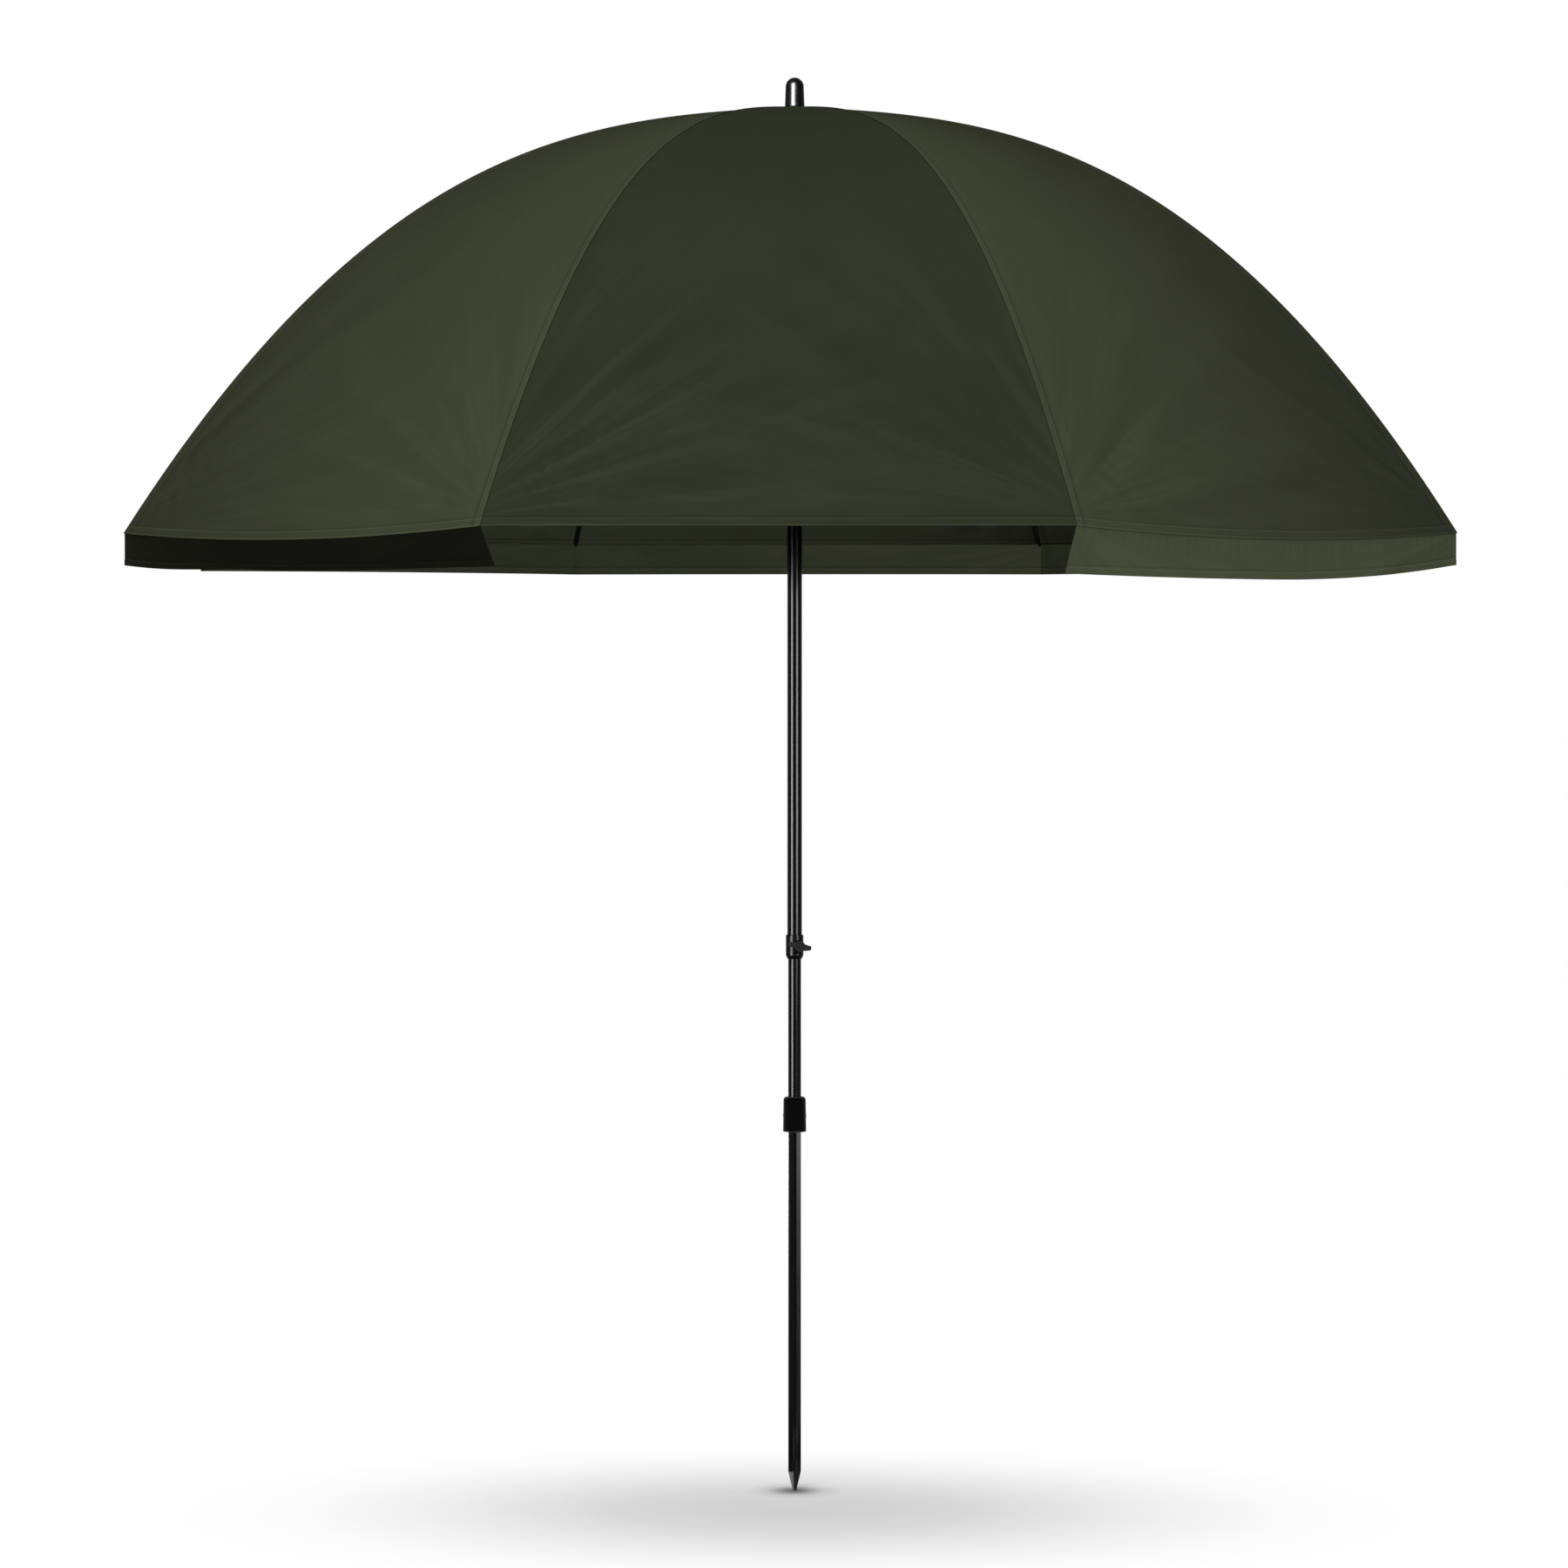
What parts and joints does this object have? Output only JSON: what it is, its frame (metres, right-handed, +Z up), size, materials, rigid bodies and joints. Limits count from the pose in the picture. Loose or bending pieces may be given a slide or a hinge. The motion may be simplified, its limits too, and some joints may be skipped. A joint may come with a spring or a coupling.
{
  "type": "fishing umbrella",
  "caption": "Folding fishing umbrella on a telescopic two-part pole with a ground spike; dark olive canopy on ribs and stretchers, with a skirt all round except in front.",
  "frame": {"origin": "point of the ground spike, on the pole's axis", "axes": "+Z up along the pole, -Y towards the canopy's front panel, which has no skirt, +X to the right seen from the front"},
  "size_m": [1.9586, 1.9586, 2.1915],
  "materials": {
    "canopy_cloth": "matt coated polyester",
    "black_gloss_tube": "gloss black enamel",
    "black_steel": "satin black",
    "black_plastic": "satin moulded nylon",
    "matt_grey_plastic": "matt moulded",
    "zinc_steel": "zinc plated",
    "spring_steel": "bright",
    "fibreglass_rod": "smooth dark resin"
  },
  "bodies": {
    "lower_pole": {"ground_spike": "black_steel", "spike_collar": "black_plastic", "collar_pin": "zinc_steel", "lower_tube": "black_gloss_tube", "guide_plug": "black_plastic"},
    "upper_pole": {"upper_tube": "black_gloss_tube", "lock_collar": "black_plastic", "lock_nut": "zinc_steel", "top_hub": "black_plastic", "hub_wire_ring": "zinc_steel", "top_cap": "black_plastic", "crown_patch": "canopy_cloth", "runner_catch": "spring_steel"},
    "wing_screw": {"wing_screw": "matt_grey_plastic"},
    "runner": {"runner": "black_plastic"},
    "rib_1": {"rib_1": "fibreglass_rod", "rib_tip_1": "black_plastic"},
    "stretcher_1": {"stretcher_1": "black_steel"},
    "rib_2": {"rib_2": "fibreglass_rod", "rib_tip_2": "black_plastic"},
    "stretcher_2": {"stretcher_2": "black_steel"},
    "rib_3": {"rib_3": "fibreglass_rod", "rib_tip_3": "black_plastic"},
    "stretcher_3": {"stretcher_3": "black_steel"},
    "rib_4": {"rib_4": "fibreglass_rod", "rib_tip_4": "black_plastic"},
    "stretcher_4": {"stretcher_4": "black_steel"},
    "rib_5": {"rib_5": "fibreglass_rod", "rib_tip_5": "black_plastic"},
    "stretcher_5": {"stretcher_5": "black_steel"},
    "rib_6": {"rib_6": "fibreglass_rod", "rib_tip_6": "black_plastic"},
    "stretcher_6": {"stretcher_6": "black_steel"},
    "rib_7": {"rib_7": "fibreglass_rod", "rib_tip_7": "black_plastic"},
    "stretcher_7": {"stretcher_7": "black_steel"},
    "rib_8": {"rib_8": "fibreglass_rod", "rib_tip_8": "black_plastic"},
    "stretcher_8": {"stretcher_8": "black_steel"},
    "panel_1": {"canopy_panel_1": "canopy_cloth"},
    "panel_2": {"canopy_panel_2": "canopy_cloth", "skirt_2": "canopy_cloth"},
    "panel_3": {"canopy_panel_3": "canopy_cloth", "skirt_3": "canopy_cloth"},
    "panel_4": {"canopy_panel_4": "canopy_cloth", "skirt_4": "canopy_cloth"},
    "panel_5": {"canopy_panel_5": "canopy_cloth", "skirt_5": "canopy_cloth"},
    "panel_6": {"canopy_panel_6": "canopy_cloth", "skirt_6": "canopy_cloth"},
    "panel_7": {"canopy_panel_7": "canopy_cloth", "skirt_7": "canopy_cloth"},
    "panel_8": {"canopy_panel_8": "canopy_cloth", "skirt_8": "canopy_cloth"}
  },
  "joints": [
    {"name": "pole_height", "type": "slide", "parent": "lower_pole", "child": "upper_pole", "axis": [0, 0, 1], "range_m": [-0.21, 0.33]},
    {"name": "wing_screw_turn", "type": "hinge", "parent": "upper_pole", "child": "wing_screw", "pos_m": [0, 0, 0.8488], "axis": [0.342, -0.9397, 0], "range_deg": [0, 720]},
    {"name": "runner_slide", "type": "slide", "parent": "upper_pole", "child": "runner", "axis": [0, 0, 1], "range_m": [-0.7413, 0], "deforming": ["runner_catch"]},
    {"name": "rib_1_fold", "type": "hinge", "parent": "upper_pole", "child": "rib_1", "pos_m": [0.01129, -0.02726, 2.13773], "axis": [0.9239, 0.3827, 0], "range_deg": [0, 55.5]},
    {"name": "stretcher_1_fold", "type": "hinge", "parent": "rib_1", "child": "stretcher_1", "pos_m": [0.21539, -0.51999, 1.98237], "axis": [0.9239, 0.3827, 0], "range_deg": [-110.5, 0]},
    {"name": "rib_2_fold", "type": "hinge", "parent": "upper_pole", "child": "rib_2", "pos_m": [0.02726, -0.01129, 2.13773], "axis": [0.3827, 0.9239, 0], "range_deg": [0, 55.5]},
    {"name": "stretcher_2_fold", "type": "hinge", "parent": "rib_2", "child": "stretcher_2", "pos_m": [0.51999, -0.21539, 1.98237], "axis": [0.3827, 0.9239, 0], "range_deg": [-110.5, 0]},
    {"name": "rib_3_fold", "type": "hinge", "parent": "upper_pole", "child": "rib_3", "pos_m": [0.02726, 0.01129, 2.13773], "axis": [-0.3827, 0.9239, 0], "range_deg": [0, 55.5]},
    {"name": "stretcher_3_fold", "type": "hinge", "parent": "rib_3", "child": "stretcher_3", "pos_m": [0.51999, 0.21539, 1.98237], "axis": [-0.3827, 0.9239, 0], "range_deg": [-110.5, 0]},
    {"name": "rib_4_fold", "type": "hinge", "parent": "upper_pole", "child": "rib_4", "pos_m": [0.01129, 0.02726, 2.13773], "axis": [-0.9239, 0.3827, 0], "range_deg": [0, 55.5]},
    {"name": "stretcher_4_fold", "type": "hinge", "parent": "rib_4", "child": "stretcher_4", "pos_m": [0.21539, 0.51999, 1.98237], "axis": [-0.9239, 0.3827, 0], "range_deg": [-110.5, 0]},
    {"name": "rib_5_fold", "type": "hinge", "parent": "upper_pole", "child": "rib_5", "pos_m": [-0.01129, 0.02726, 2.13773], "axis": [-0.9239, -0.3827, 0], "range_deg": [0, 55.5]},
    {"name": "stretcher_5_fold", "type": "hinge", "parent": "rib_5", "child": "stretcher_5", "pos_m": [-0.21539, 0.51999, 1.98237], "axis": [-0.9239, -0.3827, 0], "range_deg": [-110.5, 0]},
    {"name": "rib_6_fold", "type": "hinge", "parent": "upper_pole", "child": "rib_6", "pos_m": [-0.02726, 0.01129, 2.13773], "axis": [-0.3827, -0.9239, 0], "range_deg": [0, 55.5]},
    {"name": "stretcher_6_fold", "type": "hinge", "parent": "rib_6", "child": "stretcher_6", "pos_m": [-0.51999, 0.21539, 1.98237], "axis": [-0.3827, -0.9239, 0], "range_deg": [-110.5, 0]},
    {"name": "rib_7_fold", "type": "hinge", "parent": "upper_pole", "child": "rib_7", "pos_m": [-0.02726, -0.01129, 2.13773], "axis": [0.3827, -0.9239, 0], "range_deg": [0, 55.5]},
    {"name": "stretcher_7_fold", "type": "hinge", "parent": "rib_7", "child": "stretcher_7", "pos_m": [-0.51999, -0.21539, 1.98237], "axis": [0.3827, -0.9239, 0], "range_deg": [-110.5, 0]},
    {"name": "rib_8_fold", "type": "hinge", "parent": "upper_pole", "child": "rib_8", "pos_m": [-0.01129, -0.02726, 2.13773], "axis": [0.9239, -0.3827, 0], "range_deg": [0, 55.5]},
    {"name": "stretcher_8_fold", "type": "hinge", "parent": "rib_8", "child": "stretcher_8", "pos_m": [-0.21539, -0.51999, 1.98237], "axis": [0.9239, -0.3827, 0], "range_deg": [-110.5, 0]},
    {"name": "panel_1_fold", "type": "hinge", "parent": "upper_pole", "child": "panel_1", "pos_m": [0, -0.02726, 2.13773], "axis": [1, 0, 0], "range_deg": [0, 52.5], "deforming": ["canopy_panel_1"]},
    {"name": "panel_2_fold", "type": "hinge", "parent": "upper_pole", "child": "panel_2", "pos_m": [0.01927, -0.01927, 2.13773], "axis": [0.7071, 0.7071, 0], "range_deg": [0, 52.5], "deforming": ["canopy_panel_2", "skirt_2"]},
    {"name": "panel_3_fold", "type": "hinge", "parent": "upper_pole", "child": "panel_3", "pos_m": [0.02726, 0, 2.13773], "axis": [0, 1, 0], "range_deg": [0, 52.5], "deforming": ["canopy_panel_3", "skirt_3"]},
    {"name": "panel_4_fold", "type": "hinge", "parent": "upper_pole", "child": "panel_4", "pos_m": [0.01927, 0.01927, 2.13773], "axis": [-0.7071, 0.7071, 0], "range_deg": [0, 52.5], "deforming": ["canopy_panel_4", "skirt_4"]},
    {"name": "panel_5_fold", "type": "hinge", "parent": "upper_pole", "child": "panel_5", "pos_m": [0, 0.02726, 2.13773], "axis": [-1, 0, 0], "range_deg": [0, 52.5], "deforming": ["canopy_panel_5", "skirt_5"]},
    {"name": "panel_6_fold", "type": "hinge", "parent": "upper_pole", "child": "panel_6", "pos_m": [-0.01927, 0.01927, 2.13773], "axis": [-0.7071, -0.7071, 0], "range_deg": [0, 52.5], "deforming": ["canopy_panel_6", "skirt_6"]},
    {"name": "panel_7_fold", "type": "hinge", "parent": "upper_pole", "child": "panel_7", "pos_m": [-0.02726, 0, 2.13773], "axis": [0, -1, 0], "range_deg": [0, 52.5], "deforming": ["canopy_panel_7", "skirt_7"]},
    {"name": "panel_8_fold", "type": "hinge", "parent": "upper_pole", "child": "panel_8", "pos_m": [-0.01927, -0.01927, 2.13773], "axis": [0.7071, -0.7071, 0], "range_deg": [0, 52.5], "deforming": ["canopy_panel_8", "skirt_8"]}
  ],
  "couplings": [
    {"joint": "rib_1_fold", "follows": "runner_slide", "rad_per_m": -1.2949},
    {"joint": "stretcher_1_fold", "follows": "runner_slide", "rad_per_m": 2.5899},
    {"joint": "rib_2_fold", "follows": "runner_slide", "rad_per_m": -1.2949},
    {"joint": "stretcher_2_fold", "follows": "runner_slide", "rad_per_m": 2.5899},
    {"joint": "rib_3_fold", "follows": "runner_slide", "rad_per_m": -1.2949},
    {"joint": "stretcher_3_fold", "follows": "runner_slide", "rad_per_m": 2.5899},
    {"joint": "rib_4_fold", "follows": "runner_slide", "rad_per_m": -1.2949},
    {"joint": "stretcher_4_fold", "follows": "runner_slide", "rad_per_m": 2.5899},
    {"joint": "rib_5_fold", "follows": "runner_slide", "rad_per_m": -1.2949},
    {"joint": "stretcher_5_fold", "follows": "runner_slide", "rad_per_m": 2.5899},
    {"joint": "rib_6_fold", "follows": "runner_slide", "rad_per_m": -1.2949},
    {"joint": "stretcher_6_fold", "follows": "runner_slide", "rad_per_m": 2.5899},
    {"joint": "rib_7_fold", "follows": "runner_slide", "rad_per_m": -1.2949},
    {"joint": "stretcher_7_fold", "follows": "runner_slide", "rad_per_m": 2.5899},
    {"joint": "rib_8_fold", "follows": "runner_slide", "rad_per_m": -1.2949},
    {"joint": "stretcher_8_fold", "follows": "runner_slide", "rad_per_m": 2.5899},
    {"joint": "panel_1_fold", "follows": "runner_slide", "rad_per_m": -1.2243},
    {"joint": "panel_2_fold", "follows": "runner_slide", "rad_per_m": -1.2243},
    {"joint": "panel_3_fold", "follows": "runner_slide", "rad_per_m": -1.2243},
    {"joint": "panel_4_fold", "follows": "runner_slide", "rad_per_m": -1.2243},
    {"joint": "panel_5_fold", "follows": "runner_slide", "rad_per_m": -1.2243},
    {"joint": "panel_6_fold", "follows": "runner_slide", "rad_per_m": -1.2243},
    {"joint": "panel_7_fold", "follows": "runner_slide", "rad_per_m": -1.2243},
    {"joint": "panel_8_fold", "follows": "runner_slide", "rad_per_m": -1.2243}
  ]
}
